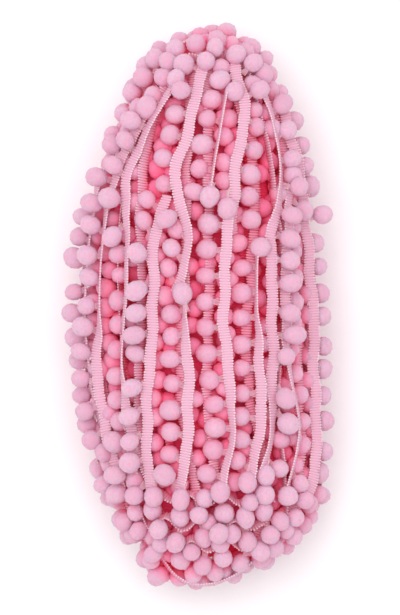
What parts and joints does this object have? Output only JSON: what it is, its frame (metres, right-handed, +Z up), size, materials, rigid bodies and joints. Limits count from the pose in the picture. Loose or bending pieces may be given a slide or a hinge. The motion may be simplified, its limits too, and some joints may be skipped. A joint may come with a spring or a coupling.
{
  "type": "pompom fringe trim, wound in a hank",
  "caption": "Narrow ribbed braid with small round pompoms tied along one edge, wound lengthwise into a long oval hank that lies on its back.",
  "frame": {"origin": "under the middle of the hank's box, on the surface it rests on", "axes": "+Y along the hank to its narrower end, +X across it, +Z up, so the side that the picture shows faces +Z"},
  "size_m": [0.1326, 0.2751, 0.0853],
  "materials": {
    "pompom_trim": "soft matt pile and ribbed braid",
    "inner_turns": "soft matt pile in shade"
  },
  "bodies": {
    "root": {"inner_turns": "inner_turns", "upper_a": "pompom_trim", "upper_b": "pompom_trim", "upper_c": "pompom_trim", "upper_d": "pompom_trim", "upper_e": "pompom_trim", "upper_f": "pompom_trim", "upper_g": "pompom_trim", "upper_h": "pompom_trim", "upper_i": "pompom_trim", "upper_j": "pompom_trim", "upper_k": "pompom_trim", "upper_m": "pompom_trim", "top_b": "pompom_trim", "top_c": "pompom_trim", "foot_b": "pompom_trim", "foot_c": "pompom_trim", "foot_d": "pompom_trim", "lower_b": "pompom_trim", "lower_c": "pompom_trim", "lower_d": "pompom_trim", "lower_e": "pompom_trim", "lower_f": "pompom_trim", "lower_g": "pompom_trim", "top_end": "pompom_trim", "foot_end": "pompom_trim"}
  },
  "joints": []
}
